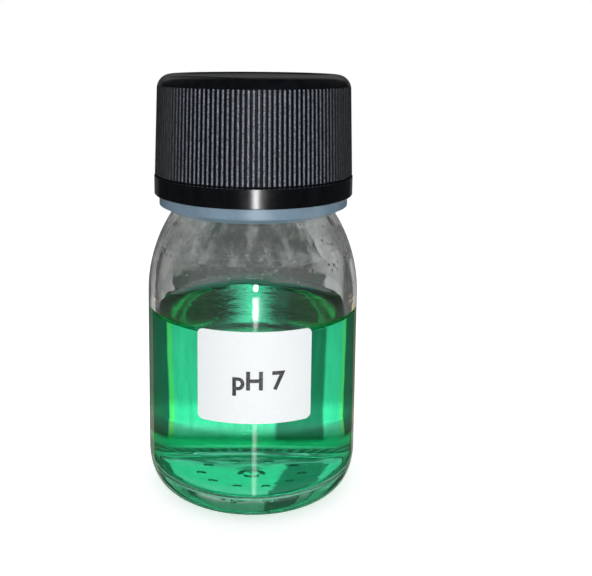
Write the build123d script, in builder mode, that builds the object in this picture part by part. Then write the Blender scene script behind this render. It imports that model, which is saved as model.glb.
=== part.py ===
"""A wide-neck laboratory bottle with a push-and-turn screw closure.

Millimetres. +Z is up, the origin is the middle of the foot ring, and -Y is the front,
where the label is. The bottle stands closed, with its closure screwed down.
"""

from build123d import *

import os
from math import cos, pi, radians, sin, sqrt

os.makedirs("parts", exist_ok=True)

# ---- glass body ----
BODY_R = 21.5
WALL = 2.0
FOOT_OUT_R = 17.6
FOOT_IN_R = 15.4
HEEL_H = 7.0
PUNT_RISE = 0.9
PUNT_SLOPE = 1.6
PUNT_CROWN = 0.6
FLOOR_TOP_Z = 3.2
FLOOR_CROWN = 0.5
INNER_HEEL = 4.5
SHOULDER_R = 29.5
SHOULDER_Z = 40.0
NECK_R = 14.9
NECK_BORE_R = 12.0
LIP_Z = 78.0
LIP_ROUND = 0.7

# knurl under the foot ring, and the moulder's dots in the punt
KNURL_COUNT = 72
KNURL_LEN = 1.4
KNURL_W = 0.4
KNURL_DEPTH = 0.18
DOT_COUNT = 10
DOT_RING_R = 7.6
DOT_R = 0.8
HUB_R = 2.1
HUB_HOLE_R = 1.2
MARK_DROP = 0.1

# retaining bead on the neck, over which the tamper ring was snapped
BEAD_R = 16.2
BEAD_Z0 = 60.7
BEAD_Z1 = 62.3
BEAD_BEVEL = 0.5
BEAD_UNDERCUT = 0.2
BEAD_RUN_OUT = 0.4

# neck thread, GL 32 x 4, right-handed, and the thread inside the cap that runs between its turns
PITCH = 4.0
THREAD_TURNS = 2.0
THREAD_SINK = 0.3
NECK_THREAD_R = 16.0
NECK_THREAD_Z = 66.2
NECK_THREAD_BASE = 2.2
NECK_THREAD_TOP = 0.9
CAP_THREAD_DROP = 1.55
CAP_THREAD_BASE = 1.7
CAP_THREAD_TOP = 0.7
BORE_CLEAR = 0.45
CREST_CLEAR = 0.25

# ---- contents and label ----
LIQUID_Z = 35.8
MENISCUS_RISE = 1.5
MENISCUS_RUN = 3.2
LABEL_Z0 = 20.1
LABEL_Z1 = 37.8
LABEL_HALF_DEG = 29.7
LABEL_OFF_DEG = 1.3
LABEL_THICK = 0.09
LABEL_CORNER = 1.1

# ---- tamper ring ----
RING_R = 19.1
RING_IN_R = 18.0
RING_Z0 = 57.0
RING_CREASE_Z = 58.14
RING_EDGE_R = 16.9
RING_EDGE_W = 0.4
RING_LIP_R = 15.5
RING_LIP_Z0 = 58.3
RING_LIP_Z1 = 60.2
RING_LIP_CORNER = 0.3
RING_TOP_Z = 60.9
NIB_COUNT = 12
NIB_R = 17.05
NIB_SIZE = 0.7
NIB_H = 1.1

# ---- liner ----
LINER_R = 15.9
LINER_H = 1.3

# ---- inner cap ----
SKIRT_GAP = 0.6
INNER_OUT_R = 17.7
INNER_TOP_R = 17.5
INNER_TOP_WALL = 1.4
INNER_TOP_BEVEL = 0.8
LEDGE_R = 18.5
LEDGE_Z0 = 63.45
LEDGE_Z1 = 64.2
LEDGE_SLOPE = 0.8
LUG_COUNT = 8
LUG_IN_R = 12.3
LUG_OUT_R = 16.4
LUG_DEG = 12.0
LUG_H = 0.75
BOSS_R = 5.6
BOSS_H = 0.5

# ---- outer cap ----
CAP_TOP_Z = 84.2
CAP_TOP_WALL = 1.3
CAP_CORNER = 2.9
BAND_Z = 60.24
BAND_R = 20.1
BAND_IN_R = 19.3
BAND_EDGE = 0.15
BAND_SHOULDER = 0.12
RIB_Z0 = 64.06
RIB_Z1 = 81.9
RIB_R0 = 19.98
RIB_R1 = 19.45
RIB_DEPTH = 0.42
RIB_FOOT_H = 0.45
RIB_FOOT_CUT = 0.135
RIB_COUNT = 130
RIB_CREST_PART = 0.44
RIB_FLOOR_PART = 0.18
CUTTER_SPARE = 1.0
CAP_IN_R0 = 18.75
CAP_IN_R1 = 18.05
CAP_IN_CORNER = 1.6
PANEL_R = 15.2
PANEL_DEPTH = 0.3
GATE_R = 0.7
GATE_DEPTH = 0.35
SNAP_R = 18.15
SNAP_Z0 = 62.6
SNAP_Z1 = 63.35
SNAP_LEAD = 0.3
SNAP_RUN_OUT = 0.2
SNAP_RELIEF = 0.8

# ---- push spring ----
SPRING_OUT_R = 11.4
SPRING_IN_R = 5.9
SPRING_THICK = 0.45
FINGER_COUNT = 6
FINGER_R = 8.6
FINGER_W = 2.6
FINGER_RUN = 5.4
FINGER_THICK = 0.4
FINGER_ROOT = 1.2
FINGER_TIP = 0.4
FINGER_SINK = 0.1

# ---- places that follow from the driving dimensions ----
INNER_R = BODY_R - WALL
NECK_FOOT_Z = SHOULDER_Z + sqrt(SHOULDER_R**2 - (NECK_R - BODY_R + SHOULDER_R) ** 2)
THROAT_Z = SHOULDER_Z + sqrt((SHOULDER_R - WALL) ** 2 - (NECK_BORE_R - BODY_R + SHOULDER_R) ** 2)
FLOOR_MID_Z = FLOOR_TOP_Z + FLOOR_CROWN
INNER_BORE_R = NECK_THREAD_R + BORE_CLEAR
CAP_THREAD_R = NECK_R + CREST_CLEAR
CAP_THREAD_Z = NECK_THREAD_Z - CAP_THREAD_DROP
SKIRT_Z = RING_TOP_Z + SKIRT_GAP
LINER_TOP_Z = LIP_Z + LINER_H
INNER_TOP_Z = LINER_TOP_Z + INNER_TOP_WALL
CAP_UNDER_Z = CAP_TOP_Z - CAP_TOP_WALL
RIB_FLOOR_R = RIB_R0 - RIB_DEPTH


def thread_ridge(root_r, crest_r, z, base, top):
    """A helical ridge with a trapezoid section, from root_r out or in to crest_r."""
    way = 1 if crest_r > root_r else -1
    height = abs(crest_r - root_r)
    with BuildPart() as ridge:
        with BuildLine() as path:
            Helix(pitch=PITCH, height=PITCH * THREAD_TURNS, radius=root_r, center=(0, 0, z))
        start = Plane(origin=path.line @ 0, x_dir=(way, 0, 0), z_dir=path.line % 0)
        with BuildSketch(start):
            with BuildLine():
                Polyline(
                    (-THREAD_SINK, -base / 2),
                    (-THREAD_SINK, base / 2),
                    (0, base / 2),
                    (height, top / 2),
                    (height, -top / 2),
                    (0, -base / 2),
                    close=True,
                )
            make_face()
        sweep(path=path.line, is_frenet=True)
    return ridge.part


def drive_lug():
    """The sketch of one driving lug: a ring sector centred on the +X axis."""
    half = radians(LUG_DEG / 2)
    reach = 2 * LUG_OUT_R
    with BuildSketch() as sector:
        Circle(LUG_OUT_R)
        Circle(LUG_IN_R, mode=Mode.SUBTRACT)
        with BuildLine():
            Polyline(
                (0, 0),
                (reach * cos(half), reach * sin(half)),
                (reach * cos(half), -reach * sin(half)),
                close=True,
            )
        make_face(mode=Mode.INTERSECT)
    return sector.sketch


def rib_outline(scale, z):
    """The closed outline of the ribbed wall at height z, scaled about the axis."""
    step = 2 * pi / RIB_COUNT
    crest_r = RIB_R0 * scale
    floor_r = RIB_FLOOR_R * scale
    half_floor = RIB_FLOOR_PART * step / 2
    half_crest = RIB_CREST_PART * step / 2
    points = []
    for index in range(RIB_COUNT):
        floor_turn = index * step
        crest_turn = floor_turn + step / 2
        corners = (
            (floor_r, floor_turn - half_floor),
            (floor_r, floor_turn + half_floor),
            (crest_r, crest_turn - half_crest),
            (crest_r, crest_turn + half_crest),
        )
        for r, turn in corners:
            points.append((r * cos(turn), r * sin(turn)))
    with BuildSketch(Plane.XY.offset(z)) as outline:
        with BuildLine():
            Polyline(*points, close=True)
        make_face()
    return outline.sketch


# ---- glass bottle: one revolved wall, a neck thread, a ring of mould dots, a knurled foot ----
neck_thread = thread_ridge(
    NECK_R, NECK_THREAD_R, NECK_THREAD_Z, NECK_THREAD_BASE, NECK_THREAD_TOP
)
with BuildPart() as glass_bottle:
    with BuildSketch(Plane.XZ):
        with BuildLine():
            Line((FOOT_IN_R, 0), (FOOT_OUT_R, 0))
            EllipticalCenterArc(
                (FOOT_OUT_R, HEEL_H), BODY_R - FOOT_OUT_R, HEEL_H, 270, arc_size=90
            )
            Line((BODY_R, HEEL_H), (BODY_R, SHOULDER_Z))
            RadiusArc((BODY_R, SHOULDER_Z), (NECK_R, NECK_FOOT_Z), -SHOULDER_R)
            neck = Polyline(
                (NECK_R, NECK_FOOT_Z),
                (NECK_R, BEAD_Z0 - BEAD_UNDERCUT),
                (BEAD_R - BEAD_BEVEL, BEAD_Z0),
                (BEAD_R, BEAD_Z0 + BEAD_BEVEL),
                (BEAD_R, BEAD_Z1 - BEAD_BEVEL),
                (BEAD_R - BEAD_BEVEL, BEAD_Z1),
                (NECK_R, BEAD_Z1 + BEAD_RUN_OUT),
                (NECK_R, LIP_Z - LIP_ROUND),
            )
            lip_out = RadiusArc(neck @ 1, (NECK_R - LIP_ROUND, LIP_Z), -LIP_ROUND)
            lip = Line(lip_out @ 1, (NECK_BORE_R + LIP_ROUND, LIP_Z))
            lip_in = RadiusArc(lip @ 1, (NECK_BORE_R, LIP_Z - LIP_ROUND), -LIP_ROUND)
            bore = Line(lip_in @ 1, (NECK_BORE_R, THROAT_Z))
            dome = RadiusArc(bore @ 1, (INNER_R, SHOULDER_Z), SHOULDER_R - WALL)
            wall = Line(dome @ 1, (INNER_R, FLOOR_TOP_Z + INNER_HEEL))
            heel = RadiusArc(wall @ 1, (INNER_R - INNER_HEEL, FLOOR_TOP_Z), INNER_HEEL)
            Polyline(
                heel @ 1,
                (0, FLOOR_MID_Z),
                (0, PUNT_RISE + PUNT_CROWN),
                (FOOT_IN_R - PUNT_SLOPE, PUNT_RISE),
                (FOOT_IN_R, 0),
            )
        make_face()
    revolve(axis=Axis.Z)
    add(neck_thread)
    with BuildSketch(Plane.XY.offset(PUNT_RISE - MARK_DROP)):
        with PolarLocations(DOT_RING_R, DOT_COUNT):
            Circle(DOT_R)
        Circle(HUB_R)
        Circle(HUB_HOLE_R, mode=Mode.SUBTRACT)
    extrude(amount=MARK_DROP + PUNT_CROWN)
    with PolarLocations((FOOT_IN_R + FOOT_OUT_R) / 2, KNURL_COUNT):
        Box(KNURL_LEN, KNURL_W, 2 * KNURL_DEPTH, mode=Mode.SUBTRACT)
glass_bottle.part.label = "glass_bottle"
export_step(glass_bottle.part, "parts/glass_bottle.step")

# ---- solution: fills the bottle from its floor to the liquid line, and creeps up the glass ----
with BuildPart() as solution:
    with BuildSketch(Plane.XZ):
        with BuildLine():
            up = Line((0, FLOOR_MID_Z), (0, LIQUID_Z))
            level = Line(up @ 1, (INNER_R - MENISCUS_RUN, LIQUID_Z))
            creep = TangentArc(
                level @ 1, (INNER_R, LIQUID_Z + MENISCUS_RISE), tangent=level % 1
            )
            side = Line(creep @ 1, (INNER_R, FLOOR_TOP_Z + INNER_HEEL))
            turn = RadiusArc(side @ 1, (INNER_R - INNER_HEEL, FLOOR_TOP_Z), INNER_HEEL)
            Line(turn @ 1, up @ 0)
        make_face()
    revolve(axis=Axis.Z)
solution.part.label = "solution"
export_step(solution.part, "parts/solution.step")

# ---- label: a thin sheet with rounded corners, wrapped on the front of the wall ----
label_height = LABEL_Z1 - LABEL_Z0
label_width = 2 * BODY_R * sin(radians(LABEL_HALF_DEG))
with BuildPart() as label:
    with BuildSketch(Plane.XZ.rotated((0, 0, LABEL_OFF_DEG))):
        with Locations((0, LABEL_Z0 + label_height / 2)):
            RectangleRounded(label_width, label_height, LABEL_CORNER)
    extrude(amount=BODY_R + WALL)
    with BuildSketch(Plane.XY.offset(LABEL_Z0)):
        Circle(BODY_R + LABEL_THICK)
        Circle(BODY_R, mode=Mode.SUBTRACT)
    extrude(amount=label_height, mode=Mode.INTERSECT)
label.part.label = "label"
export_step(label.part, "parts/label.step")

# ---- tamper ring: wall, sloped foot, a lip under the glass bead, and the broken bridges' nibs ----
with BuildPart() as tamper_ring:
    with BuildSketch(Plane.XZ):
        with BuildLine():
            Polyline(
                (RING_EDGE_R, RING_Z0),
                (RING_R, RING_CREASE_Z),
                (RING_R, RING_TOP_Z),
                (RING_IN_R, RING_TOP_Z),
                (RING_IN_R - RING_LIP_CORNER, RING_LIP_Z1),
                (RING_LIP_R, RING_LIP_Z1),
                (RING_LIP_R, RING_LIP_Z0),
                (RING_EDGE_R - RING_EDGE_W, RING_Z0),
                close=True,
            )
        make_face()
    revolve(axis=Axis.Z)
    with BuildSketch(Plane.XY.offset(RING_LIP_Z1)):
        with PolarLocations(NIB_R, NIB_COUNT):
            Rectangle(NIB_SIZE, NIB_SIZE)
    extrude(amount=NIB_H)
tamper_ring.part.label = "tamper_ring"
export_step(tamper_ring.part, "parts/tamper_ring.step")

# ---- liner: the foam wad that seals on the glass lip ----
with BuildPart() as liner:
    with BuildSketch(Plane.XY.offset(LIP_Z)):
        Circle(LINER_R)
    extrude(amount=LINER_H)
liner.part.label = "liner"
export_step(liner.part, "parts/liner.step")

# ---- inner cap: threaded skirt, snap ledge, and a top with driving lugs and a centring boss ----
lug = drive_lug()
cap_thread = thread_ridge(
    INNER_BORE_R, CAP_THREAD_R, CAP_THREAD_Z, CAP_THREAD_BASE, CAP_THREAD_TOP
)
with BuildPart() as inner_cap:
    with BuildSketch(Plane.XZ):
        with BuildLine():
            Polyline(
                (INNER_BORE_R, SKIRT_Z),
                (INNER_OUT_R, SKIRT_Z),
                (INNER_OUT_R, LEDGE_Z0),
                (LEDGE_R, LEDGE_Z0),
                (LEDGE_R, LEDGE_Z1),
                (INNER_OUT_R, LEDGE_Z1 + LEDGE_SLOPE),
                (INNER_TOP_R, INNER_TOP_Z - INNER_TOP_BEVEL),
                (INNER_TOP_R - INNER_TOP_BEVEL, INNER_TOP_Z),
                (0, INNER_TOP_Z),
                (0, LINER_TOP_Z),
                (INNER_BORE_R, LINER_TOP_Z),
                close=True,
            )
        make_face()
    revolve(axis=Axis.Z)
    with BuildSketch(Plane.XY.offset(INNER_TOP_Z)):
        with PolarLocations(0, LUG_COUNT):
            add(lug)
    extrude(amount=LUG_H)
    with BuildSketch(Plane.XY.offset(INNER_TOP_Z)):
        Circle(BOSS_R)
    extrude(amount=BOSS_H)
    add(cap_thread)
inner_cap.part.label = "inner_cap"
export_step(inner_cap.part, "parts/inner_cap.step")

# ---- push spring: a flat ring with leaf fingers that hold the outer shell up ----
finger_root_z = INNER_TOP_Z + SPRING_THICK - FINGER_SINK
finger_half = FINGER_RUN / 2
with BuildPart() as push_spring:
    with BuildSketch(Plane.XY.offset(INNER_TOP_Z)):
        Circle(SPRING_OUT_R)
        Circle(SPRING_IN_R, mode=Mode.SUBTRACT)
    extrude(amount=SPRING_THICK)
    with BuildSketch(Plane.YZ.offset(FINGER_R - FINGER_W / 2)):
        with BuildLine():
            Polyline(
                (-finger_half, finger_root_z),
                (-finger_half + FINGER_ROOT, finger_root_z),
                (finger_half - FINGER_TIP, CAP_UNDER_Z - FINGER_THICK),
                (finger_half, CAP_UNDER_Z - FINGER_THICK),
                (finger_half, CAP_UNDER_Z),
                (finger_half - 2 * FINGER_TIP, CAP_UNDER_Z),
                (-finger_half, finger_root_z + FINGER_THICK),
                close=True,
            )
        make_face()
    finger = extrude(amount=FINGER_W, mode=Mode.PRIVATE)
    with PolarLocations(0, FINGER_COUNT):
        add(finger)
push_spring.part.label = "push_spring"
export_step(push_spring.part, "parts/push_spring.step")

# ---- the space between the ribs, to be cut from the shell of the outer cap ----
groove_z = RIB_Z0 + RIB_FOOT_CUT
ribs_low = rib_outline(1, groove_z)
ribs_high = rib_outline(RIB_R1 / RIB_R0, RIB_Z1)
with BuildPart() as grooves:
    with BuildSketch(Plane.XY.offset(groove_z)):
        Circle(BAND_R + CUTTER_SPARE)
    extrude(amount=RIB_Z1 - groove_z)
    loft(sections=[ribs_low, ribs_high], ruled=True, mode=Mode.SUBTRACT)

# ---- outer cap: band, ribbed wall, rounded corner, sunk panel, snap bead, lugs under the top ----
corner_z = CAP_TOP_Z - CAP_CORNER
panel_z = CAP_TOP_Z - PANEL_DEPTH
with BuildPart() as outer_cap:
    with BuildSketch(Plane.XZ):
        with BuildLine():
            Polyline(
                (BAND_IN_R, BAND_Z),
                (BAND_R - BAND_EDGE, BAND_Z),
                (BAND_R, BAND_Z + BAND_EDGE),
                (BAND_R, RIB_Z0 - BAND_SHOULDER),
                (BAND_R - BAND_SHOULDER, RIB_Z0),
                (RIB_FLOOR_R, RIB_Z0),
                (RIB_R0, RIB_Z0 + RIB_FOOT_H),
                (RIB_R1, corner_z),
            )
            corner = RadiusArc((RIB_R1, corner_z), (RIB_R1 - CAP_CORNER, CAP_TOP_Z), -CAP_CORNER)
            top = Polyline(
                corner @ 1,
                (PANEL_R, CAP_TOP_Z),
                (PANEL_R - PANEL_DEPTH, panel_z),
                (0, panel_z),
                (0, CAP_UNDER_Z),
                (CAP_IN_R1 - CAP_IN_CORNER, CAP_UNDER_Z),
            )
            under = RadiusArc(top @ 1, (CAP_IN_R1, CAP_UNDER_Z - CAP_IN_CORNER), CAP_IN_CORNER)
            Polyline(
                under @ 1,
                (CAP_IN_R0, SNAP_Z1 + SNAP_RELIEF),
                (CAP_IN_R0, SNAP_Z1),
                (SNAP_R, SNAP_Z1),
                (SNAP_R, SNAP_Z0 + SNAP_LEAD),
                (SNAP_R + SNAP_LEAD, SNAP_Z0),
                (BAND_IN_R, SNAP_Z0 - SNAP_RUN_OUT),
                (BAND_IN_R, BAND_Z),
            )
        make_face()
    revolve(axis=Axis.Z)
    add(grooves.part, mode=Mode.SUBTRACT)
    with BuildSketch(Plane.XY.offset(CAP_UNDER_Z)):
        with PolarLocations(0, LUG_COUNT, start_angle=180 / LUG_COUNT):
            add(lug)
    extrude(amount=-LUG_H)
    with Locations((0, 0, panel_z)):
        Hole(radius=GATE_R, depth=GATE_DEPTH)
outer_cap.part.label = "outer_cap"
export_step(outer_cap.part, "parts/outer_cap.step")
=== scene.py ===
"""Looks for a small screw-cap reagent bottle: clear glass, green liquid, black ribbed closure.

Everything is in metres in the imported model's frame: +Z up, the foot ring on z = 0, -Y the front.
"""

import math
import random

import bmesh
import bpy
from mathutils import Matrix, Vector


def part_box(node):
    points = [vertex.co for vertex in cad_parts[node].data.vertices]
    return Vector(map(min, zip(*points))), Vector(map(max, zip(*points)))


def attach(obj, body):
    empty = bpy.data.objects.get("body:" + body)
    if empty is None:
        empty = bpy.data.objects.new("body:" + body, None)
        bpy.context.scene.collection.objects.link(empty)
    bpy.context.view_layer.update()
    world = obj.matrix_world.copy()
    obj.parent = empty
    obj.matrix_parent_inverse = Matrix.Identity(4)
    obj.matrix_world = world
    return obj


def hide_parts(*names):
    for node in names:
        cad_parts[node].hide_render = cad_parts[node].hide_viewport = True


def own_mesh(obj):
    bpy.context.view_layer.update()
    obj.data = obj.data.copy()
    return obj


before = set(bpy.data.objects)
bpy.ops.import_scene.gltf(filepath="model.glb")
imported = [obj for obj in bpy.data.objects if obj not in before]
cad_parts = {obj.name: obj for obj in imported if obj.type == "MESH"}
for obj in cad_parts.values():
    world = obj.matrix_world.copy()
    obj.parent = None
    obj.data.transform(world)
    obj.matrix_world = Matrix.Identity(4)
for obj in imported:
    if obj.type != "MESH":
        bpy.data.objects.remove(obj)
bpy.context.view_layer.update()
MM = 0.001
HAIR = 0.01 * MM

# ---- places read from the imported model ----
glass_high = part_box("glass_bottle")[1]
liquid_low, liquid_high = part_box("solution")
label_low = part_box("label")[0]
cap_low, cap_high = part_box("outer_cap")
BODY_R = glass_high.x
INNER_R = liquid_high.x
FLOOR_Z = liquid_low.z
LIQUID_TOP = liquid_high.z

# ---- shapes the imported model's boxes don't tell ----
MENISCUS_RISE = 1.5 * MM
MENISCUS_RUN = 3.2 * MM
INNER_HEEL = 4.5 * MM
SHOULDER_Z = 40.0 * MM
SHOULDER_IN_R = 27.5 * MM
BAND_TOP = cap_low.z + 3.82 * MM
RIBS_TOP = cap_low.z + 21.6 * MM
RIB_DEPTH = 0.42 * MM
RIB_COUNT = 130
PANEL_R = 15.2 * MM

# ---- places that follow from them ----
LIQUID_LEVEL = LIQUID_TOP - MENISCUS_RISE
HEEL_R = INNER_R - INNER_HEEL
SHOULDER_MID_R = INNER_R - SHOULDER_IN_R

# ---- how much water and glass bend light ----
GLASS_IOR = 1.5
WATER_IOR = 1.333


# ---------------------------------------------------------------- node helpers


def new_material(name):
    """A node material, its tree and its Principled node."""
    material = bpy.data.materials.new(name)
    material.use_nodes = True
    tree = material.node_tree
    return material, tree, tree.nodes["Principled BSDF"]


def node(tree, kind, **settings):
    """A new node of this kind, with attributes and input values set by name."""
    made = tree.nodes.new(kind)
    for key, value in settings.items():
        if key in made.inputs:
            made.inputs[key].default_value = value
        else:
            setattr(made, key, value)
    return made


def link(tree, out, into):
    tree.links.new(out, into)


def maths(tree, operation, *values):
    """A Math node's output, from sockets or numbers."""
    made = node(tree, "ShaderNodeMath", operation=operation)
    for place, value in enumerate(values):
        if isinstance(value, (int, float)):
            made.inputs[place].default_value = value
        else:
            link(tree, value, made.inputs[place])
    return made.outputs[0]


def times(tree, *factors):
    """The product of sockets or numbers."""
    result = factors[0]
    for factor in factors[1:]:
        result = maths(tree, "MULTIPLY", result, factor)
    return result


def above(tree, value, limit):
    """1 where value is over limit, else 0."""
    return maths(tree, "GREATER_THAN", value, limit)


def below(tree, value, limit):
    """1 where value is under limit, else 0."""
    return maths(tree, "LESS_THAN", value, limit)


def either(tree, first, second):
    """The greater of two masks."""
    return maths(tree, "MAXIMUM", first, second)


def scaled(tree, value, low, high):
    """value from 0..1 to low..high."""
    return maths(tree, "MULTIPLY_ADD", value, high - low, low)


def smooth_step(tree, value, low, high, at_low=0.0, at_high=1.0):
    """value mapped smoothly from low..high to at_low..at_high, held beyond them."""
    made = node(tree, "ShaderNodeMapRange", interpolation_type="SMOOTHSTEP")
    for name, amount in (
        ("From Min", low),
        ("From Max", high),
        ("To Min", at_low),
        ("To Max", at_high),
    ):
        made.inputs[name].default_value = amount
    link(tree, value, made.inputs["Value"])
    return made.outputs[0]


def fall(tree, value, low, high):
    """1 up to low, falling smoothly to 0 at high."""
    return smooth_step(tree, value, low, high, 1.0, 0.0)


def between(tree, value, low, high, soft):
    """1 where value lies between low and high, fading over soft outside them."""
    rise = smooth_step(tree, value, low - soft, low)
    return times(tree, rise, fall(tree, value, high, high + soft))


def ramp(tree, share, *stops):
    """A colour ramp's colour output; each stop is (place, (r, g, b))."""
    made = node(tree, "ShaderNodeValToRGB")
    elements = made.color_ramp.elements
    while len(elements) < len(stops):
        elements.new(0.5)
    for element, (place, colour) in zip(elements, stops):
        element.position = place
        element.color = (*colour, 1.0)
    link(tree, share, made.inputs[0])
    return made.outputs[0]


def plain_colour(tree, colour):
    """One colour, as a socket."""
    made = node(tree, "ShaderNodeRGB")
    made.outputs[0].default_value = (*colour, 1.0)
    return made.outputs[0]


def mixed(tree, share, first, second):
    """first where share is 0, second where it is 1, for colour sockets or grey sockets."""
    made = node(tree, "ShaderNodeMix", data_type="RGBA")
    link(tree, share, made.inputs["Factor"])
    link(tree, first, made.inputs["A"])
    link(tree, second, made.inputs["B"])
    return made.outputs["Result"]


def mixed_shader(tree, share, first, second):
    """The first shader where share is 0, the second where it is 1."""
    made = node(tree, "ShaderNodeMixShader")
    for place, socket in enumerate((share, first, second)):
        link(tree, socket, made.inputs[place])
    return made.outputs[0]


def object_place(tree):
    """The place in the object, as a vector socket."""
    return node(tree, "ShaderNodeTexCoord").outputs["Object"]


def axes_of(tree, where):
    """A vector socket's x, y and z."""
    split = node(tree, "ShaderNodeSeparateXYZ")
    link(tree, where, split.inputs[0])
    return split.outputs


def from_axis(tree, x, y):
    """Distance from the bottle's axis."""
    return maths(tree, "SQRT", maths(tree, "ADD", times(tree, x, x), times(tree, y, y)))


def noise_of(tree, where, scale, detail=3.0, rough=0.5, stretch=None):
    """A noise texture's value at where, scale in cells per metre."""
    if stretch:
        mapping = node(tree, "ShaderNodeMapping")
        mapping.inputs["Scale"].default_value = stretch
        link(tree, where, mapping.inputs["Vector"])
        where = mapping.outputs[0]
    made = node(tree, "ShaderNodeTexNoise", Scale=scale, Detail=detail, Roughness=rough)
    link(tree, where, made.inputs["Vector"])
    return made.outputs[0]


def bump(tree, height, strength, distance, normal=None):
    """The normal of a surface raised by height, on top of another normal if one is given."""
    made = node(tree, "ShaderNodeBump", Strength=strength, Distance=distance)
    link(tree, height, made.inputs["Height"])
    if normal is not None:
        link(tree, normal, made.inputs["Normal"])
    return made.outputs[0]


def show(tree, shader):
    """Make this shader the material's surface."""
    link(tree, shader, tree.nodes["Material Output"].inputs["Surface"])


def show_and_let_lamps_through(tree, shader, tint):
    """Shadow rays pass as through tinted clear glass, so what stands behind it is lit."""
    path = node(tree, "ShaderNodeLightPath")
    clear = node(tree, "ShaderNodeBsdfTransparent", Color=(*tint, 1.0))
    show(tree, mixed_shader(tree, path.outputs["Is Shadow Ray"], shader, clear.outputs[0]))


# ---------------------------------------------------------------- clear glass

CLEAR_BODY = (0.985, 0.995, 0.99)
# painted shade: the glass turns grey over the shoulder line, darkening what is seen through the
# empty shoulder
SHOULDER_SHADE_GREY = (0.87, 0.885, 0.88)
CLEAR_TO_LAMPS = (0.93, 0.97, 0.95)
SHOULDER_FADE = (SHOULDER_Z - 2.0 * MM, SHOULDER_Z + 1.0 * MM)

# the inner skin of the wall is inside the first radius, the outer skin outside the second
INNER_SKIN_R = INNER_R + 0.4 * MM
OUTER_SKIN_R = INNER_R + 0.1 * MM
UNDERSIDE_Z = FLOOR_Z - 0.3 * MM

# painted green light: the foot's outer skin is tinted green up to where it fades, and a green matt
# skin inside the heel stands for the liquid's light gathered there
FOOT_GREEN_LIGHT = (0.06, 0.30, 0.16)
FOOT_FADE = (3.4 * MM, 6.4 * MM)
FOOT_GLOW = (0.55, 1.0, 0.85)
FOOT_GLOW_R = HEEL_R - 1.0 * MM
FOOT_GLOW_SHARE = 0.6
FOOT_GLOW_FADE = (1.0 * MM, 2.8 * MM)

# noises: cells per metre, detail, roughness; bumps: strength, distance
SWELL_NOISE = (130.0, 2.0, 0.45)
SWELL_STRETCH = (1.0, 1.0, 0.55)
SWELL_BUMP = (0.5, 0.3 * MM)
MIST_Z = (48.0 * MM, 53.0 * MM, 1.5 * MM)
BACK_MIST_Z = (38.2 * MM, 43.5 * MM, 1.0 * MM)
PATCH_NOISE = (150.0, 3.0, 0.6)
PATCH_EDGE = (0.38, 0.62)
BEAD_NOISE = (2400.0, 4.0, 0.75)
BEAD_EDGE = (0.53, 0.64)
MIST_BUMP = (0.55, 0.12 * MM)
RUNS_FROM_Z = SHOULDER_Z + 9.0 * MM
RUN_NOISE = (420.0, 2.0, 0.5)
RUN_STRETCH = (1.0, 1.0, 0.06)
RUN_EDGE = (0.5, 0.72)
RUN_BUMP = (0.2, 0.18 * MM)
RUN_FOG = 0.3
FOG_COLOUR = (0.78, 0.82, 0.8)
FOG_SHARE = 0.55


def glass_colour(tree, z, r):
    """Clear, greyed by painted shade over the shoulder line, and tinted by painted green light in
    the foot's outer skin.
    """
    shoulder = smooth_step(tree, z, *SHOULDER_FADE)
    clear = ramp(tree, shoulder, (0.0, CLEAR_BODY), (1.0, SHOULDER_SHADE_GREY))
    outside = either(tree, above(tree, r, OUTER_SKIN_R), below(tree, z, UNDERSIDE_Z))
    foot = times(tree, fall(tree, z, *FOOT_FADE), outside)
    return mixed(tree, foot, clear, plain_colour(tree, FOOT_GREEN_LIGHT))


def wetness(tree, z, inside):
    """1 where the inner skin is under the liquid line."""
    return times(tree, inside, below(tree, z, LIQUID_TOP), above(tree, z, UNDERSIDE_Z))


def mist_on_glass(tree, where, y, z, r):
    """Height of fine beads of mist, in patches on the inner skin, and the share they whiten."""
    behind = above(tree, y, 0.0)
    low_mist = times(tree, behind, between(tree, z, *BACK_MIST_Z))
    zone = either(tree, between(tree, z, *MIST_Z), low_mist)
    patches = smooth_step(tree, noise_of(tree, where, *PATCH_NOISE), *PATCH_EDGE)
    beads = noise_of(tree, where, *BEAD_NOISE)
    height = times(tree, beads, zone, patches, below(tree, r, INNER_R - HAIR))
    return height, times(tree, height, smooth_step(tree, beads, *BEAD_EDGE))


def runs_on_glass(tree, where, z, inside):
    """Height of long runs of water down the inside of the neck, and the share they whiten."""
    zone = above(tree, z, RUNS_FROM_Z)
    height = times(tree, noise_of(tree, where, *RUN_NOISE, RUN_STRETCH), zone, inside)
    return height, times(tree, zone, inside, smooth_step(tree, height, *RUN_EDGE), RUN_FOG)


def heel_glow(tree, z, r):
    """Where painted green light stands for the liquid's light caught in the heel, seen only from
    inside the glass.
    """
    within = node(tree, "ShaderNodeNewGeometry").outputs["Backfacing"]
    low = fall(tree, z, *FOOT_GLOW_FADE)
    return times(tree, low, within, above(tree, r, FOOT_GLOW_R), FOOT_GLOW_SHARE)


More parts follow.
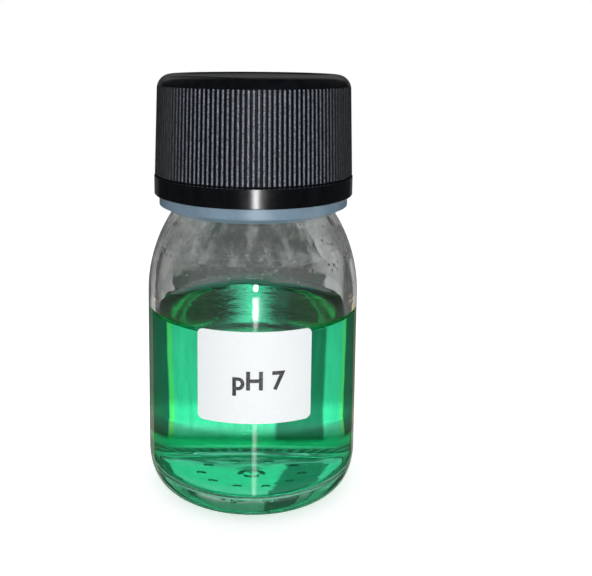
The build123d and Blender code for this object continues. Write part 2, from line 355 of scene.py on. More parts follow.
def glass_material():
    """Clear flint glass. The wall under the liquid line bends light as glass against water."""
    material, tree, shader = new_material("clear_glass_look")
    where = object_place(tree)
    x, y, z = axes_of(tree, where)
    r = from_axis(tree, x, y)
    inside = below(tree, r, INNER_SKIN_R)
    link(tree, glass_colour(tree, z, r), shader.inputs["Base Color"])
    ior = scaled(tree, wetness(tree, z, inside), GLASS_IOR, GLASS_IOR / WATER_IOR)
    link(tree, ior, shader.inputs["IOR"])
    shader.inputs["Transmission Weight"].default_value = 1.0
    shader.inputs["Roughness"].default_value = 0.0

    swell = times(tree, noise_of(tree, where, *SWELL_NOISE, SWELL_STRETCH), inside)
    mist, mist_veil = mist_on_glass(tree, where, y, z, r)
    runs, run_veil = runs_on_glass(tree, where, z, inside)
    normal = bump(tree, swell, *SWELL_BUMP)
    normal = bump(tree, mist, *MIST_BUMP, normal)
    normal = bump(tree, runs, *RUN_BUMP, normal)
    link(tree, normal, shader.inputs["Normal"])

    veil = times(tree, either(tree, mist_veil, run_veil), FOG_SHARE)
    fog = node(tree, "ShaderNodeBsdfDiffuse", Color=(*FOG_COLOUR, 1.0))
    fogged = mixed_shader(tree, veil, shader.outputs[0], fog.outputs[0])
    # painted green light: a green matt skin inside the heel
    glow = node(tree, "ShaderNodeBsdfDiffuse", Color=(*FOOT_GLOW, 1.0))
    glowing = mixed_shader(tree, heel_glow(tree, z, r), fogged, glow.outputs[0])
    show_and_let_lamps_through(tree, glowing, CLEAR_TO_LAMPS)
    return material


# ---------------------------------------------------------------- green liquid

# each tint is a pair, for the thin and the thick places of a faint cloud
CLOUD_NOISE = (60.0, 2.0)
CLOUD_STOPS = (0.3, 0.7)
WALL_GREEN = ((0.19, 0.86, 0.58), (0.23, 0.90, 0.63))
FLOOR_CLEAR = ((0.90, 0.98, 0.95), (0.96, 1.0, 0.98))
HEEL_GREEN = ((0.12, 0.62, 0.43), (0.15, 0.68, 0.48))
TOP_GREEN = ((0.44, 0.93, 0.76), (0.48, 0.95, 0.80))
# painted shade: the meniscus slope, seen from outside, bends its light through dark grey
BRIM_SHADE_GREY = ((0.12, 0.135, 0.13), (0.16, 0.175, 0.17))
WALL_FADE = (FLOOR_Z + 0.3 * MM, FLOOR_Z + INNER_HEEL)
HEEL_FADE_R = (HEEL_R - 0.5 * MM, HEEL_R + 0.5 * MM)
HEEL_FADE_Z = (FLOOR_Z + 0.8 * MM, FLOOR_Z + 1.6 * MM)
BRIM_FADE = (LIQUID_LEVEL + 0.002 * MM, LIQUID_LEVEL + 0.09 * MM)
RIPPLE_NOISE = (260.0, 3.0, 0.55)
RIPPLE_BUMP = (1.0, 0.22 * MM)
TOP_MIRROR = 0.4
LIQUID_GAP = 0.05 * MM


def clouded(tree, cloud, tints):
    """A pair of tints, mixed by the cloud."""
    return ramp(tree, cloud, *zip(CLOUD_STOPS, tints))


def side_shader(tree, z, r, cloud, brim_from_below):
    """The liquid's wall and floor: clear, green at the wall, duller at the heel, pale below."""
    wall = smooth_step(tree, z, *WALL_FADE)
    thin = maths(tree, "SUBTRACT", 1.0, brim_from_below)
    tint = mixed(
        tree,
        times(tree, wall, thin),
        clouded(tree, cloud, FLOOR_CLEAR),
        clouded(tree, cloud, WALL_GREEN),
    )
    heel = times(tree, smooth_step(tree, r, *HEEL_FADE_R), fall(tree, z, *HEEL_FADE_Z))
    side = node(tree, "ShaderNodeBsdfTransparent")
    link(tree, mixed(tree, heel, tint, clouded(tree, cloud, HEEL_GREEN)), side.inputs["Color"])
    return side.outputs[0]


def top_shader(tree, where, cloud, brim_from_above, inner):
    """The free surface: rippled, bending what is under it and mirroring the room, with painted
    shade on the meniscus slope.
    """
    ripples = bump(tree, noise_of(tree, where, *RIPPLE_NOISE), *RIPPLE_BUMP)
    bend = node(tree, "ShaderNodeBsdfRefraction", Roughness=0.0, IOR=WATER_IOR)
    mirror = node(tree, "ShaderNodeBsdfGlossy", Roughness=0.0)
    fresnel = node(tree, "ShaderNodeFresnel", IOR=WATER_IOR)
    for rippled in (bend, mirror, fresnel):
        link(tree, ripples, rippled.inputs["Normal"])
    # painted shade on the meniscus slope
    tint = mixed(
        tree,
        brim_from_above,
        clouded(tree, cloud, TOP_GREEN),
        clouded(tree, cloud, BRIM_SHADE_GREY),
    )
    link(tree, tint, bend.inputs["Color"])
    share = times(tree, fresnel.outputs[0], scaled(tree, inner, TOP_MIRROR, 1.0))
    return mixed_shader(tree, share, bend.outputs[0], mirror.outputs[0])


def liquid_material():
    """Green dyed water: its side only tints light, its free surface bends and mirrors it."""
    material, tree, shader = new_material("green_solution_look")
    tree.nodes.remove(shader)
    where = object_place(tree)
    x, y, z = axes_of(tree, where)
    r = from_axis(tree, x, y)
    cloud = noise_of(tree, where, *CLOUD_NOISE)
    brim = smooth_step(tree, z, *BRIM_FADE)
    inner = node(tree, "ShaderNodeNewGeometry").outputs["Backfacing"]
    outer = maths(tree, "SUBTRACT", 1.0, inner)
    side = side_shader(tree, z, r, cloud, times(tree, brim, inner))
    top = top_shader(tree, where, cloud, times(tree, brim, outer), inner)
    surface = times(
        tree,
        above(tree, z, LIQUID_LEVEL - HAIR),
        below(tree, r, INNER_R - LIQUID_GAP - HAIR),
    )
    show(tree, mixed_shader(tree, surface, side, top))
    return material


# ---------------------------------------------------------------- condensate, label and print

DROP_NOISE = (500.0, 3.0, 0.5)
DROP_SHADES = ((0.3, (0.93, 0.95, 0.95)), (0.7, (1.0, 1.0, 1.0)))
DROP_ROUGHNESS = 0.02
DROP_TO_LAMPS = (0.97, 0.98, 0.98)
PAPER_NOISE = (2600.0, 6.0, 0.6)
PAPER_SHADES = ((0.3, (0.84, 0.875, 0.89)), (0.7, (0.89, 0.915, 0.925)))
PAPER_ROUGHNESS = 0.62
PAPER_BUMP = (0.25, 0.03 * MM)
TONER_NOISE = (2400.0, 4.0, 0.7)
TONER_SHADES = ((0.4, (0.008, 0.009, 0.012)), (0.72, (0.12, 0.125, 0.13)))
TONER_ROUGHNESS = 0.55


def drop_material():
    """Drops of clear condensate on the inside of the shoulder."""
    material, tree, shader = new_material("condensate_look")
    shade = ramp(tree, noise_of(tree, object_place(tree), *DROP_NOISE), *DROP_SHADES)
    link(tree, shade, shader.inputs["Base Color"])
    shader.inputs["Transmission Weight"].default_value = 1.0
    shader.inputs["Roughness"].default_value = DROP_ROUGHNESS
    shader.inputs["IOR"].default_value = WATER_IOR
    show_and_let_lamps_through(tree, shader.outputs[0], DROP_TO_LAMPS)
    return material


def paper_material():
    """White label paper with a faint tooth."""
    material, tree, shader = new_material("label_paper_look")
    fibre = noise_of(tree, object_place(tree), *PAPER_NOISE)
    link(tree, ramp(tree, fibre, *PAPER_SHADES), shader.inputs["Base Color"])
    shader.inputs["Roughness"].default_value = PAPER_ROUGHNESS
    link(tree, bump(tree, fibre, *PAPER_BUMP), shader.inputs["Normal"])
    return material


def print_material():
    """Dark toner, a little broken where the paper's tooth shows."""
    material, tree, shader = new_material("label_print_look")
    grain = noise_of(tree, object_place(tree), *TONER_NOISE)
    link(tree, ramp(tree, grain, *TONER_SHADES), shader.inputs["Base Color"])
    shader.inputs["Roughness"].default_value = TONER_ROUGHNESS
    return material


# ---------------------------------------------------------------- black outer cap

RIB_ZONE_SOFT = 0.12 * MM
RIB_CREST_LOW = cap_high.x - 0.12 * MM
RIB_CREST_HIGH = cap_high.x - 0.65 * MM
RIB_CREST_FADE = (-0.55 * RIB_DEPTH, -0.08 * RIB_DEPTH)
RIB_EDGE = 0.1
# painted highlight on the rib crests, falling to painted shade where they turn away from the eye
RIB_RIM = (0.12, 0.68)
RIB_LIMB_SHADE = 0.07
TOP_PANEL_Z = cap_high.z - 0.6 * MM
TOP_PANEL_R = PANEL_R + 0.4 * MM
TOP_PANEL_MATT = 0.45
GRAIN_NOISE = (4200.0, 3.0, 0.7)
SCUFF_NOISE = (700.0, 4.0, 0.6)
SCUFF_STRETCH = (1.0, 1.0, 0.2)
# painted highlight: the light grey of the lit rib crests
CREST_HIGHLIGHT_SHADES = ((0.38, (0.03, 0.034, 0.043)), (0.64, (0.36, 0.40, 0.47)))
BLACK_SHADES = ((0.3, (0.002, 0.0025, 0.0035)), (0.8, (0.006, 0.007, 0.009)))
POLISHED_ROUGHNESS = (0.1, 0.24)
MATT_ROUGHNESS = (0.3, 0.65)
POLISHED_GLOSS = 0.5
RIB_GLOSS = 0.12
CAP_IOR = 1.5
PIT_BUMP = (0.6, 0.06 * MM)


def rib_crests(tree, x, y, z, r, ribs):
    """1 on the matt crests of the ribs, 0 in the grooves and off the ribbed zone."""
    crest_r = smooth_step(tree, z, BAND_TOP, RIBS_TOP, RIB_CREST_LOW, RIB_CREST_HIGH)
    depth = maths(tree, "SUBTRACT", r, crest_r)
    crest = smooth_step(tree, depth, *RIB_CREST_FADE)
    around = maths(tree, "ARCTAN2", y, x)
    wave = maths(tree, "COSINE", maths(tree, "MULTIPLY", around, RIB_COUNT))
    return times(tree, ribs, crest, fall(tree, wave, -1.0, RIB_EDGE))


def black_cap_material():
    """Black moulded plastic: polished band and shoulder, matt spark-eroded ribs with a painted
    highlight on their crests that fades to painted shade at the limbs, satin top.
    """
    material, tree, shader = new_material("black_plastic_look")
    where = object_place(tree)
    x, y, z = axes_of(tree, where)
    r = from_axis(tree, x, y)
    ribs = between(tree, z, BAND_TOP, RIBS_TOP, RIB_ZONE_SOFT)
    crests = rib_crests(tree, x, y, z, r, ribs)
    panel = times(tree, above(tree, z, TOP_PANEL_Z), below(tree, r, TOP_PANEL_R))
    grain = noise_of(tree, where, *GRAIN_NOISE)
    scuff = noise_of(tree, where, *SCUFF_NOISE, SCUFF_STRETCH)

    # painted highlight on the rib crests, fading to painted shade at the limbs
    turned_away = node(tree, "ShaderNodeLayerWeight", Blend=0.5).outputs["Facing"]
    lit = times(tree, crests, smooth_step(tree, turned_away, *RIB_RIM, 1.0, RIB_LIMB_SHADE))
    crest_highlight = ramp(tree, grain, *CREST_HIGHLIGHT_SHADES)
    black = ramp(tree, scuff, *BLACK_SHADES)
    link(tree, mixed(tree, lit, black, crest_highlight), shader.inputs["Base Color"])

    matt = either(tree, ribs, times(tree, panel, TOP_PANEL_MATT))
    polished_rough = scaled(tree, scuff, *POLISHED_ROUGHNESS)
    matt_rough = scaled(tree, grain, *MATT_ROUGHNESS)
    link(tree, mixed(tree, matt, polished_rough, matt_rough), shader.inputs["Roughness"])
    gloss = scaled(tree, ribs, POLISHED_GLOSS, RIB_GLOSS)
    link(tree, gloss, shader.inputs["Specular IOR Level"])
    shader.inputs["IOR"].default_value = CAP_IOR
    link(tree, bump(tree, times(tree, grain, matt), *PIT_BUMP), shader.inputs["Normal"])
    return material


# ---------------------------------------------------------------- other plastics and foam

NATURAL_NOISE = (220.0, 3.0, 0.55)
NATURAL_SHADES = ((0.3, (0.18, 0.265, 0.345)), (0.75, (0.245, 0.345, 0.43)))
NATURAL_ROUGHNESS = (0.28, 0.5)
NATURAL_GLOW = 0.4
NATURAL_GLOW_REACH = (1.0, 1.1, 1.2)
NATURAL_GLOW_DEPTH = 0.8 * MM
NATURAL_FINE_NOISE = (3500.0, 3.0, 0.6)
NATURAL_BUMP = (0.2, 0.02 * MM)
FOAM_CELLS = 2600.0
FOAM_SHADES = ((0.0, (0.72, 0.72, 0.7)), (0.6, (0.86, 0.86, 0.84)))
FOAM_ROUGHNESS = 0.7
FOAM_BUMP = (0.4, 0.06 * MM)
SPRING_NOISE = (400.0, 3.0, 0.5)
SPRING_SHADES = ((0.3, (0.72, 0.73, 0.73)), (0.7, (0.8, 0.81, 0.81)))
SPRING_ROUGHNESS = (0.3, 0.45)


def natural_plastic_material():
    """Natural polypropylene, cloudy and a little blue."""
    material, tree, shader = new_material("natural_plastic_look")
    where = object_place(tree)
    cloud = noise_of(tree, where, *NATURAL_NOISE)
    link(tree, ramp(tree, cloud, *NATURAL_SHADES), shader.inputs["Base Color"])
    link(tree, scaled(tree, cloud, *NATURAL_ROUGHNESS), shader.inputs["Roughness"])
    shader.inputs["Subsurface Weight"].default_value = NATURAL_GLOW
    shader.inputs["Subsurface Radius"].default_value = NATURAL_GLOW_REACH
    shader.inputs["Subsurface Scale"].default_value = NATURAL_GLOW_DEPTH
    fine = noise_of(tree, where, *NATURAL_FINE_NOISE)
    link(tree, bump(tree, fine, *NATURAL_BUMP), shader.inputs["Normal"])
    return material


def foam_material():
    """Closed-cell polyethylene foam."""
    material, tree, shader = new_material("foam_liner_look")
    cells = node(tree, "ShaderNodeTexVoronoi", Scale=FOAM_CELLS)
    link(tree, object_place(tree), cells.inputs["Vector"])
    link(tree, ramp(tree, cells.outputs[0], *FOAM_SHADES), shader.inputs["Base Color"])
    shader.inputs["Roughness"].default_value = FOAM_ROUGHNESS
    link(tree, bump(tree, cells.outputs[0], *FOAM_BUMP), shader.inputs["Normal"])
    return material


def spring_material():
    """White acetal with a faint cloud in it."""
    material, tree, shader = new_material("spring_plastic_look")
    cloud = noise_of(tree, object_place(tree), *SPRING_NOISE)
    link(tree, ramp(tree, cloud, *SPRING_SHADES), shader.inputs["Base Color"])
    link(tree, scaled(tree, cloud, *SPRING_ROUGHNESS), shader.inputs["Roughness"])
    return material


# ---------------------------------------------------------------- mesh helpers


def scene_object(name, data):
    """An object in the scene for this mesh, curve, lamp or camera."""
    made = bpy.data.objects.new(name, data)
    bpy.context.scene.collection.objects.link(made)
    return made


def from_bmesh(name, mesh):
    """An object from a bmesh, which is freed."""
    data = bpy.data.meshes.new(name)
    mesh.to_mesh(data)
    mesh.free()
    return scene_object(name, data)


def smooth_outward(mesh):
    """Smooth shading, with every face turned outward."""
    for face in mesh.faces:
        face.smooth = True
    bmesh.ops.recalc_face_normals(mesh, faces=mesh.faces)


def revolved(name, profile, steps):
    """A closed solid turned about Z from (r, z) points that start and end on the axis."""
    mesh = bmesh.new()
    rings = []
    for r, z in profile:
        if r == 0.0:
            rings.append([mesh.verts.new((0.0, 0.0, z))])
            continue
        turns = (2 * math.pi * step / steps for step in range(steps))
        rings.append([mesh.verts.new((r * math.cos(t), r * math.sin(t), z)) for t in turns])
    for low, high in zip(rings, rings[1:]):
        for step in range(steps):
            after = (step + 1) % steps
            if len(low) == 1:
                mesh.faces.new((low[0], high[after], high[step]))
            elif len(high) == 1:
                mesh.faces.new((low[step], low[after], high[0]))
            else:
                mesh.faces.new((low[step], low[after], high[after], high[step]))
    smooth_outward(mesh)
    return from_bmesh(name, mesh)


# ---------------------------------------------------------------- liquid

MENISCUS_BEND = 2.6
FLOOR_RISE = 0.5 * MM
FLOOR_STEPS = 12
HEEL_STEPS = 16
WALL_STEPS = 24
CREEP_STEPS = 24
TOP_STEPS = 20
LIQUID_TURN_STEPS = 192


def liquid_profile():
    """(r, z) points of the liquid, from the floor's middle round to the surface's middle."""
    wall = INNER_R - LIQUID_GAP
    floor = FLOOR_Z + LIQUID_GAP
    heel_r = wall - INNER_HEEL
    points = [(0.0, floor + FLOOR_RISE)]
    for step in range(1, FLOOR_STEPS):
        share = step / FLOOR_STEPS
        points.append((heel_r * share, floor + FLOOR_RISE * (1 - share)))
    for step in range(HEEL_STEPS + 1):
        turn = math.pi / 2 * step / HEEL_STEPS
        r = heel_r + INNER_HEEL * math.sin(turn)
        points.append((r, floor + INNER_HEEL * (1 - math.cos(turn))))
    for step in range(1, WALL_STEPS):
        share = step / WALL_STEPS
        points.append((wall, (floor + INNER_HEEL) * (1 - share) + LIQUID_TOP * share))
    for step in range(CREEP_STEPS + 1):
        share = step / CREEP_STEPS
        rise = MENISCUS_RISE * (1 - share) ** MENISCUS_BEND
        points.append((wall - MENISCUS_RUN * share, LIQUID_LEVEL + rise))
    for step in range(1, TOP_STEPS):
        points.append(((wall - MENISCUS_RUN) * (1 - step / TOP_STEPS), LIQUID_LEVEL))
    points.append((0.0, LIQUID_LEVEL))
    return points


def build_liquid():
    """The liquid, with a meniscus at its wall, just clear of the glass."""
    liquid = revolved("liquid", liquid_profile(), LIQUID_TURN_STEPS)
    liquid.data.materials.append(liquid_material())
    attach(liquid, "bottle")
    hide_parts("solution")


# ---------------------------------------------------------------- condensate

DROP_COUNT = 260
DROP_Z = (46.0 * MM, 53.5 * MM)
DROP_SIZE = (0.09 * MM, 0.34 * MM)
DROP_RARITY = 3
DROP_FLAT = (0.3, 0.55)
DROP_SEED = 11
DROP_CORNERS = 10
DROP_LEVELS = 4


def add_drop(mesh, place, inward, size, flat):
    """One low dome of water with its base just inside the glass."""
    side = inward.cross(Vector((0.0, 0.0, 1.0))).normalized()
    up = side.cross(inward).normalized()
    base = place - inward * HAIR
    rings = []
    for level in range(DROP_LEVELS):
        lift = math.pi / 2 * level / DROP_LEVELS
        ring = []
        for corner in range(DROP_CORNERS):
            turn = 2 * math.pi * corner / DROP_CORNERS
            across = side * math.cos(turn) + up * math.sin(turn)
            out = across * size * math.cos(lift)
            ring.append(mesh.verts.new(base + out + inward * size * flat * math.sin(lift)))
        rings.append(ring)
    peak = mesh.verts.new(base + inward * size * flat)
    mesh.faces.new(list(reversed(rings[0])))
    for low, high in zip(rings, rings[1:]):
        for corner in range(DROP_CORNERS):
            after = (corner + 1) % DROP_CORNERS
            mesh.faces.new((low[corner], low[after], high[after], high[corner]))
    for corner in range(DROP_CORNERS):
        mesh.faces.new((rings[-1][corner], rings[-1][(corner + 1) % DROP_CORNERS], peak))


def build_drops():
    """Condensate scattered over the inside of the shoulder, smaller drops being commoner."""
    chance = random.Random(DROP_SEED)
    mesh = bmesh.new()
    smallest, largest = DROP_SIZE
    for _ in range(DROP_COUNT):
        z = chance.uniform(*DROP_Z)
        turn = chance.uniform(0.0, 2 * math.pi)
        size = smallest + (largest - smallest) * chance.random() ** DROP_RARITY
        flat = chance.uniform(*DROP_FLAT)
        lift = math.asin((z - SHOULDER_Z) / SHOULDER_IN_R)
        r = SHOULDER_MID_R + SHOULDER_IN_R * math.cos(lift)
        outward = Vector(
            (math.cos(lift) * math.cos(turn), math.cos(lift) * math.sin(turn), math.sin(lift))
        )
        place = Vector((r * math.cos(turn), r * math.sin(turn), z))
        add_drop(mesh, place, -outward, size, flat)
    smooth_outward(mesh)
    drops = from_bmesh("condensate_drops", mesh)
    drops.data.materials.append(drop_material())
    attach(drops, "bottle")


# ---------------------------------------------------------------- label print

PRINT_TEXT = "pH 7"
PRINT_CAP_H = 3.45 * MM
FONT_CAP_SHARE = 0.7
PRINT_BOLD = 0.13 * MM
PRINT_TURN = math.radians(3.0)
PRINT_BASE_Z = 26.75 * MM
PRINT_THICK = 0.02 * MM
PRINT_PROUD_SHARE = 0.9
PRINT_CURVE_STEPS = 6
PRINT_CUTS = 2


def flat_letters():
    """The mesh of the reading as flat letters, centred on x, extruded about z = 0."""
    curve = bpy.data.curves.new("label_print", "FONT")
    curve.body = PRINT_TEXT
    curve.align_x = "CENTER"
    curve.size = PRINT_CAP_H / FONT_CAP_SHARE
    curve.offset = PRINT_BOLD
    curve.extrude = PRINT_THICK / 2
    curve.resolution_u = PRINT_CURVE_STEPS
    flat = scene_object("label_print_flat", curve)
    bpy.context.view_layer.update()
    graph = bpy.context.evaluated_depsgraph_get()
    data = bpy.data.meshes.new_from_object(flat.evaluated_get(graph))
    bpy.data.objects.remove(flat)
    return data


def build_print():
    """The reading on the label: its letters wrapped round the paper and a little proud of it."""
    mesh = bmesh.new()
    mesh.from_mesh(flat_letters())
    bmesh.ops.triangulate(mesh, faces=mesh.faces)
    bmesh.ops.subdivide_edges(mesh, edges=mesh.edges, cuts=PRINT_CUTS, use_grid_fill=True)
    middle_r = -label_low.y + PRINT_THICK * (PRINT_PROUD_SHARE - 0.5)
    for vert in mesh.verts:
        turn = PRINT_TURN + vert.co.x / BODY_R
        r = middle_r + vert.co.z
        vert.co = Vector((r * math.sin(turn), -r * math.cos(turn), PRINT_BASE_Z + vert.co.y))
    printed = from_bmesh("label_print", mesh)
    printed.data.materials.append(print_material())
    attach(printed, "bottle")


# ---------------------------------------------------------------- spring and CAD nodes


def build_spring():
    """The leaf spring under the outer cap, a copy of the CAD part that rides with the turning cap.
    """
    spring = scene_object("leaf_spring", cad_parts["push_spring"].data.copy())
    spring.data.materials.clear()
    spring.data.materials.append(spring_material())
    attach(spring, "turning_cap")
    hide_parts("push_spring")
    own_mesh(spring)


def dress_cad():
    """Materials for the CAD nodes that stay."""
    natural = natural_plastic_material()
    looks = {
        "glass_bottle": glass_material(),
        "label": paper_material(),
        "outer_cap": black_cap_material(),
        "tamper_ring": natural,
        "inner_cap": natural,
        "liner": foam_material(),
    }
    for name, look in looks.items():
        for material_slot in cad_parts[name].material_slots:
            material_slot.link = "OBJECT"
            material_slot.material = look


# ---------------------------------------------------------------- floor

FLOOR_HALF = 6.0
FLOOR_CELLS = 8
FLOOR_NOISE = (900.0, 3.0)
FLOOR_SHADES = ((0.3, (0.84, 0.84, 0.84)), (0.7, (0.87, 0.87, 0.87)))
FLOOR_ROUGHNESS = 0.8
FLOOR_LIFT = 0.52
FLOOR_FADE = (0.12, 0.5)
WHITE = (1.0, 1.0, 1.0, 1.0)


def floor_material():
    """Pale card near the bottle, lifted to read near white, and plain white to the eye far off."""
    material, tree, shader = new_material("floor_look")
    where = object_place(tree)
    shade = ramp(tree, noise_of(tree, where, *FLOOR_NOISE), *FLOOR_SHADES)
    link(tree, shade, shader.inputs["Base Color"])
    shader.inputs["Roughness"].default_value = FLOOR_ROUGHNESS
    to_eye = node(tree, "ShaderNodeLightPath").outputs["Is Camera Ray"]
    lift = node(tree, "ShaderNodeEmission", Color=WHITE)
    link(tree, times(tree, to_eye, FLOOR_LIFT), lift.inputs["Strength"])
    near = node(tree, "ShaderNodeAddShader")
    link(tree, shader.outputs[0], near.inputs[0])
    link(tree, lift.outputs[0], near.inputs[1])
    far = node(tree, "ShaderNodeEmission", Color=WHITE)
    link(tree, to_eye, far.inputs["Strength"])
    away = node(tree, "ShaderNodeVectorMath", operation="LENGTH")
    link(tree, where, away.inputs[0])
    share = smooth_step(tree, away.outputs["Value"], *FLOOR_FADE)
    show(tree, mixed_shader(tree, share, near.outputs[0], far.outputs[0]))
    return material


def build_floor():
    """A pale floor that runs to the horizon; glass and gloss see the room instead of it."""
    mesh = bmesh.new()
    bmesh.ops.create_grid(mesh, x_segments=FLOOR_CELLS, y_segments=FLOOR_CELLS, size=FLOOR_HALF)
    floor = from_bmesh("floor", mesh)
    floor.data.materials.append(floor_material())
    floor.visible_transmission = False
    floor.visible_glossy = False


# ---------------------------------------------------------------- room

# The room that glass and gloss see, by its turn from straight ahead of the camera (right is
# positive) and its rise, both in degrees. This is its brightness straight ahead, by rise.
ROOM_BY_RISE = (
    (-90.0, 0.10),
    (-58.0, 0.12),
    (-45.0, 1.15),
    (-23.9, 1.24),
    (-23.2, 0.82),
    (-20.0, 0.78),
    (-17.0, 0.60),
    (-10.0, 0.56),
    (-6.0, 0.42),
    (13.0, 0.30),
    (20.0, 0.84),
    (48.0, 0.80),
    (62.0, 0.20),
    (90.0, 0.10),
)
LOWEST_RISE = -90.0
RISE_SPAN = 180.0

# bright ahead, a little less so on the left just under eye level, dim beside, dark behind the eye
WINDOW_TURN = (-37.5, 28.8)
WINDOW_SOFT = 1.6
BESIDE_WINDOW = 0.22
LEFT_FADE = (-9.5, -8.5)
LEFT_RISE = (-16.0, 0.0, 1.0)
LEFT_DIM = 0.74
FRONT_FADE = (62.0, 80.0)
BEHIND_EYE = 0.10

# a dark upright on the left, over and under the level band
SHADOW_TURN = (-21.5, -6.5, 1.5)
SHADOW_BELOW = (-17.5, -16.0)
SHADOW_ABOVE = (18.0, 20.0)
SHADOW_DARK = 0.34

# a dark core ahead, under eye level, that widens downward
CORE_TURN = (-9.6, 7.8, 0.5)
CORE_RISE = (-16.5, -5.0, 2.0)
CORE_DARK = 0.23
CORE_SLOPE = 0.13
CORE_START = 3.0
CORE_SPREAD = (0.7, 1.4)

# a gleam far down
GLEAM_RISE = (-70.0, -66.0, 6.0)
GLEAM_TURN = 24.0
GLEAM_LIGHT = 1.1

# a tall narrow streak beside the eye, in a faint glow
STREAK_TURN = 177.4
STREAK_WIDTH = 4.4
STREAK_GLOW_WIDTH = 12.0
STREAK_GLOW = 0.06
STREAK_RISE = (-19.0, -12.0)
STREAK_LIGHT = (5.0, 42.0)
STREAK_REACH = (-38.0, -4.0, 5.0)

# yellow low on the window's two edges, where a lens would split the light
EDGE_YELLOW = (1.9, 1.15, 0.5, 1.0)
EDGE_WIDTH = 2.2
EDGE_SOFT = 1.0
EDGE_TOP = (-18.5, -17.0)
EDGE_FOOT = (-38.0, -34.0)

ROOM_NOISE = (26.0, 6.0, 0.7)
ROOM_UNEVEN = (0.62, 1.38)
MIRRORED_SHARE = 0.3
SOFT_COLOUR = (0.93, 0.97, 1.0, 1.0)
SOFT_LIGHT = 0.17


def drive(driver, eye, channel, name, expression):
    """Work a value out from one channel of the camera, known in the expression by this name."""
    driver.type = "SCRIPTED"
    value = driver.variables.new()
    value.name = name
    value.type = "TRANSFORMS"
    value.targets[0].id = eye
    value.targets[0].transform_type = channel
    driver.expression = expression


def heading(tree, eye):
    """The direction seen, its turn from straight ahead of the camera, and its rise, in degrees."""
    where = node(tree, "ShaderNodeTexCoord").outputs["Generated"]
    level = node(tree, "ShaderNodeVectorRotate", rotation_type="Z_AXIS")
    link(tree, where, level.inputs["Vector"])
    driver = level.inputs["Angle"].driver_add("default_value").driver
    drive(driver, eye, "ROT_Z", "z", "-z")
    x, y, z = axes_of(tree, level.outputs[0])
    turn = maths(tree, "DEGREES", maths(tree, "ARCTAN2", x, y))
    rise = maths(tree, "DEGREES", maths(tree, "ARCSINE", z))
    return where, turn, rise


def dimmed(tree, light, mask, share):
    """light, times share where mask is 1."""
    return times(tree, light, scaled(tree, mask, 1.0, share))


def room_core(tree, turn, rise):
    """1 in the dark core ahead."""
    spread = maths(tree, "MULTIPLY_ADD", rise, -CORE_SLOPE, -CORE_SLOPE * CORE_START)
    narrow, wide = CORE_SPREAD
    spread = maths(tree, "MINIMUM", either(tree, spread, narrow), wide)
    across = between(tree, maths(tree, "DIVIDE", turn, spread), *CORE_TURN)
    return times(tree, across, between(tree, rise, *CORE_RISE))


def room_light(tree, turn, rise):
    """Brightness of the room ahead, beside and behind the eye."""
    stops = [
        ((angle - LOWEST_RISE) / RISE_SPAN, (light, light, light))
        for angle, light in ROOM_BY_RISE
    ]
    share = maths(tree, "MULTIPLY_ADD", rise, 1 / RISE_SPAN, -LOWEST_RISE / RISE_SPAN)
    ahead = ramp(tree, share, *stops)
    window = between(tree, turn, *WINDOW_TURN, WINDOW_SOFT)
    ahead = times(tree, ahead, scaled(tree, window, BESIDE_WINDOW, 1.0))
    left = times(tree, fall(tree, turn, *LEFT_FADE), between(tree, rise, *LEFT_RISE))
    ahead = dimmed(tree, ahead, left, LEFT_DIM)
    off_level = maths(
        tree,
        "ADD",
        fall(tree, rise, *SHADOW_BELOW),
        smooth_step(tree, rise, *SHADOW_ABOVE),
    )
    shadow = times(tree, between(tree, turn, *SHADOW_TURN), off_level)
    ahead = dimmed(tree, ahead, shadow, SHADOW_DARK)
    ahead = dimmed(tree, ahead, room_core(tree, turn, rise), CORE_DARK)
    side = maths(tree, "ABSOLUTE", turn)
    gleam = times(
        tree,
        fall(tree, side, 0.0, GLEAM_TURN),
        between(tree, rise, *GLEAM_RISE),
        GLEAM_LIGHT,
    )
    behind = smooth_step(tree, side, *FRONT_FADE)
    ahead = dimmed(tree, maths(tree, "ADD", ahead, gleam), behind, 0.0)
    return maths(tree, "ADD", ahead, times(tree, behind, BEHIND_EYE))


def streak_light(tree, turn, rise):
    """A tall narrow gleam just beside the eye, strongest level with it."""
    off = maths(tree, "ABSOLUTE", maths(tree, "SUBTRACT", turn, STREAK_TURN))
    line = fall(tree, off, 0.0, STREAK_WIDTH)
    glow = fall(tree, off, 0.0, STREAK_GLOW_WIDTH)
    bright = smooth_step(tree, rise, *STREAK_RISE, *STREAK_LIGHT)
    reach = between(tree, rise, *STREAK_REACH)
    return times(tree, reach, bright, maths(tree, "MULTIPLY_ADD", glow, STREAK_GLOW, line))


def edge_colour(tree, turn, rise):
    """White, going yellow at the low part of the window's two edges."""
    low, high = WINDOW_TURN
    edges = maths(
        tree,
        "ADD",
        between(tree, turn, low, low + EDGE_WIDTH, EDGE_SOFT),
        between(tree, turn, high - EDGE_WIDTH, high, EDGE_SOFT),
    )
    low_part = times(tree, fall(tree, rise, *EDGE_TOP), smooth_step(tree, rise, *EDGE_FOOT))
    made = node(tree, "ShaderNodeMix", data_type="RGBA")
    link(tree, times(tree, edges, low_part), made.inputs["Factor"])
    made.inputs["A"].default_value = WHITE
    made.inputs["B"].default_value = EDGE_YELLOW
    return made.outputs["Result"]


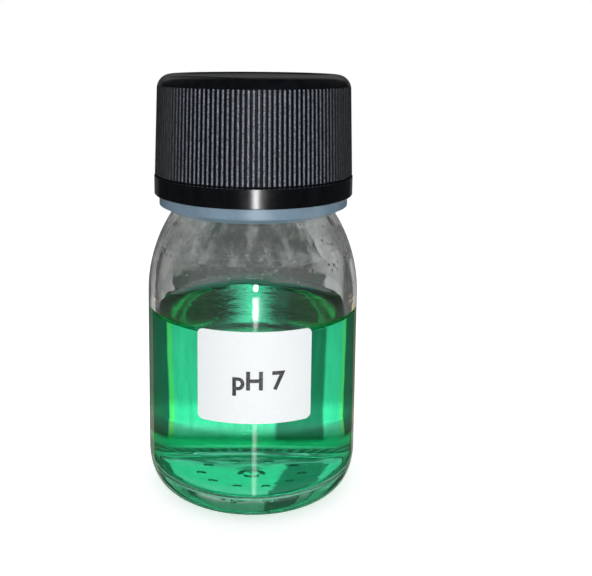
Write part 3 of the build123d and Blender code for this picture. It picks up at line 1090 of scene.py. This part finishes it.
def build_world(eye):
    """White to the eye and dim to matt things; glass and gloss see a room that follows the eye."""
    world = bpy.data.worlds.new("studio")
    world.use_nodes = True
    tree = world.node_tree
    where, turn, rise = heading(tree, eye)
    path = node(tree, "ShaderNodeLightPath")
    through = path.outputs["Is Transmission Ray"]
    bent_or_mirrored = either(tree, path.outputs["Is Glossy Ray"], through)
    mirrored = maths(tree, "SUBTRACT", bent_or_mirrored, through)
    uneven = scaled(tree, noise_of(tree, where, *ROOM_NOISE), *ROOM_UNEVEN)
    room = dimmed(tree, times(tree, room_light(tree, turn, rise), uneven), mirrored, MIRRORED_SHARE)
    room = maths(tree, "ADD", room, streak_light(tree, turn, rise))
    seen = node(tree, "ShaderNodeBackground")
    link(tree, edge_colour(tree, turn, rise), seen.inputs["Color"])
    link(tree, room, seen.inputs["Strength"])
    soft = node(tree, "ShaderNodeBackground", Color=SOFT_COLOUR, Strength=SOFT_LIGHT)
    white = node(tree, "ShaderNodeBackground", Color=WHITE, Strength=1.0)
    unseen = mixed_shader(tree, bent_or_mirrored, soft.outputs[0], seen.outputs[0])
    sky = mixed_shader(tree, path.outputs["Is Camera Ray"], unseen, white.outputs[0])
    link(tree, sky, tree.nodes["World Output"].inputs["Surface"])
    bpy.context.scene.world = world


# ---------------------------------------------------------------- lamps

KEY_PLACE = (0.03, -0.5, 0.106)
KEY_AIM = (0.0, 0.0, 0.045)
KEY_SIZE = 0.04
KEY_POWER = 1.5
OVERHEAD_PLACE = (0.0, 0.1, 1.3)
OVERHEAD_AIM = (0.0, 0.0, 0.0)
OVERHEAD_SIZE = 1.2
OVERHEAD_POWER = 11.0


def area_light(name, place, aim, size, power, mirrored):
    """A square lamp at place, turned to aim, and shown by gloss only if mirrored."""
    light = bpy.data.lights.new(name, "AREA")
    light.energy = power
    light.size = size
    lamp = scene_object(name, light)
    lamp.location = place
    lamp.rotation_euler = (Vector(aim) - Vector(place)).to_track_quat("-Z", "Y").to_euler()
    lamp.visible_glossy = mirrored


def build_lights():
    """A small lamp beside the lens, as a flash would be, and a broad soft one overhead."""
    area_light("key_by_camera", KEY_PLACE, KEY_AIM, KEY_SIZE, KEY_POWER, True)
    area_light("soft_above", OVERHEAD_PLACE, OVERHEAD_AIM, OVERHEAD_SIZE, OVERHEAD_POWER, False)


# ---------------------------------------------------------------- camera

CAM_PLACE = Vector((0.0, -170.6 * MM, 89.1 * MM))
CAM_PITCH = math.radians(8.0)
CAM_ROLL = math.radians(0.37)
CAM_LEVEL = math.radians(90.0)
LENS_MM = 51.42
SENSOR_MM = 36.0
LENS_SHIFT = {"shift_x": 0.0718, "shift_y": -0.2027}
CAM_REACH = (0.01, 20.0)
SAME_PLACE = 0.01 * MM


def hold_shift(camera, eye, channel, amount):
    """The lens is shifted only at this camera place, so that any other view stays centred."""
    driver = camera.driver_add(channel).driver
    here = f"fabs(y - {CAM_PLACE.y:.6f}) < {SAME_PLACE:.5f}"
    drive(driver, eye, "LOC_Y", "y", f"{amount:.6f} if {here} else 0.0")


def build_camera():
    """The camera, in front of the bottle and a little above it, looking slightly down."""
    camera = bpy.data.cameras.new("camera")
    camera.sensor_width = SENSOR_MM
    camera.lens = LENS_MM
    camera.clip_start, camera.clip_end = CAM_REACH
    eye = scene_object("camera", camera)
    tilt = Matrix.Rotation(CAM_LEVEL - CAM_PITCH, 4, "X")
    roll = Matrix.Rotation(CAM_ROLL, 4, "Z")
    eye.matrix_world = Matrix.Translation(CAM_PLACE) @ tilt @ roll
    for channel, amount in LENS_SHIFT.items():
        hold_shift(camera, eye, channel, amount)
    bpy.context.scene.camera = eye
    return eye


# ---------------------------------------------------------------- light paths

MAX_BOUNCES = 24
GLASS_BOUNCES = 20
CLEAR_BOUNCES = 24
MIRROR_BOUNCES = 8
FIREFLY_CLAMP = 6.0


def set_look():
    """Plain colours, and enough bounces for glass around liquid."""
    scene = bpy.context.scene
    scene.view_settings.view_transform = "Standard"
    scene.cycles.use_denoising = True
    scene.cycles.max_bounces = MAX_BOUNCES
    scene.cycles.transmission_bounces = GLASS_BOUNCES
    scene.cycles.transparent_max_bounces = CLEAR_BOUNCES
    scene.cycles.glossy_bounces = MIRROR_BOUNCES
    scene.cycles.caustics_refractive = True
    scene.cycles.caustics_reflective = False
    scene.cycles.sample_clamp_indirect = FIREFLY_CLAMP


dress_cad()
build_liquid()
build_drops()
build_print()
build_spring()
build_floor()
build_lights()
build_world(build_camera())
set_look()
